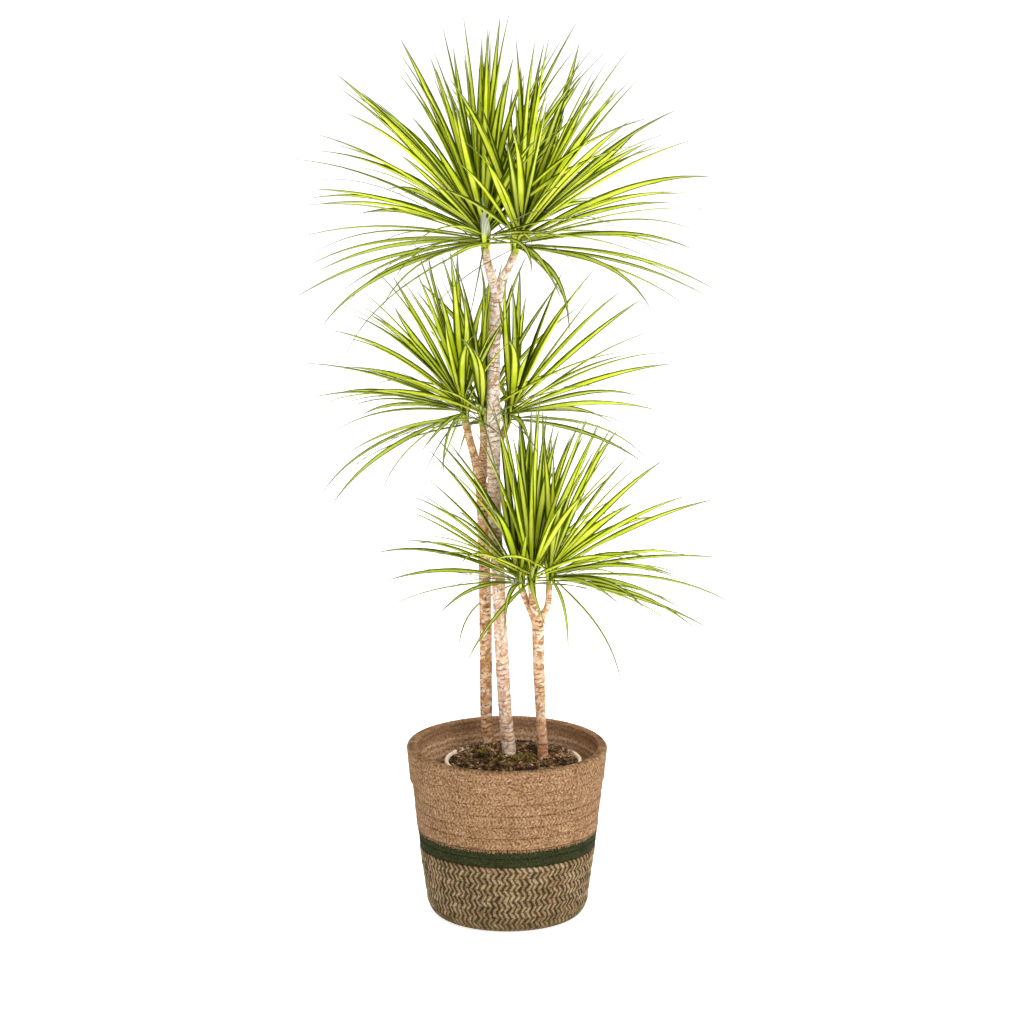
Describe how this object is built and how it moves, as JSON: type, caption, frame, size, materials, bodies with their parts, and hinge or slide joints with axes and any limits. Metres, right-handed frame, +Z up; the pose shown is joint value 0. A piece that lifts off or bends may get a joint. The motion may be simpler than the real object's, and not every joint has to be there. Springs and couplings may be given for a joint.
{
  "type": "potted dracaena marginata",
  "caption": "Indoor dragon tree with forked bare canes under heads of narrow striped leaves, in a nursery pot inside a coiled rope basket.",
  "frame": {"origin": "middle of the flat base of the basket, on the surface that it stands on", "axes": "+Z up along the canes, +X to the right seen from the front, +Y away from the front"},
  "size_m": [0.5893, 0.5637, 1.213],
  "materials": {
    "chevron_rope": "matte",
    "green_rope": "matte",
    "jute_rope": "matte",
    "pot_plastic": "satin",
    "soil": "matte",
    "pale_bark": "matte",
    "brown_bark": "matte",
    "leaf": "satin"
  },
  "bodies": {
    "root": {"basket_chevron_base": "chevron_rope", "basket_green_band": "green_rope", "basket_jute_wall": "jute_rope", "nursery_pot": "pot_plastic", "soil": "soil", "cane_tall": "pale_bark", "cane_middle": "brown_bark", "cane_short": "brown_bark", "head_tall_left": "leaf", "head_tall_right": "leaf", "head_middle_left": "leaf", "head_middle_centre": "leaf", "head_middle_right": "leaf", "head_short_left": "leaf", "head_short_centre": "leaf", "head_short_right": "leaf"}
  },
  "joints": []
}
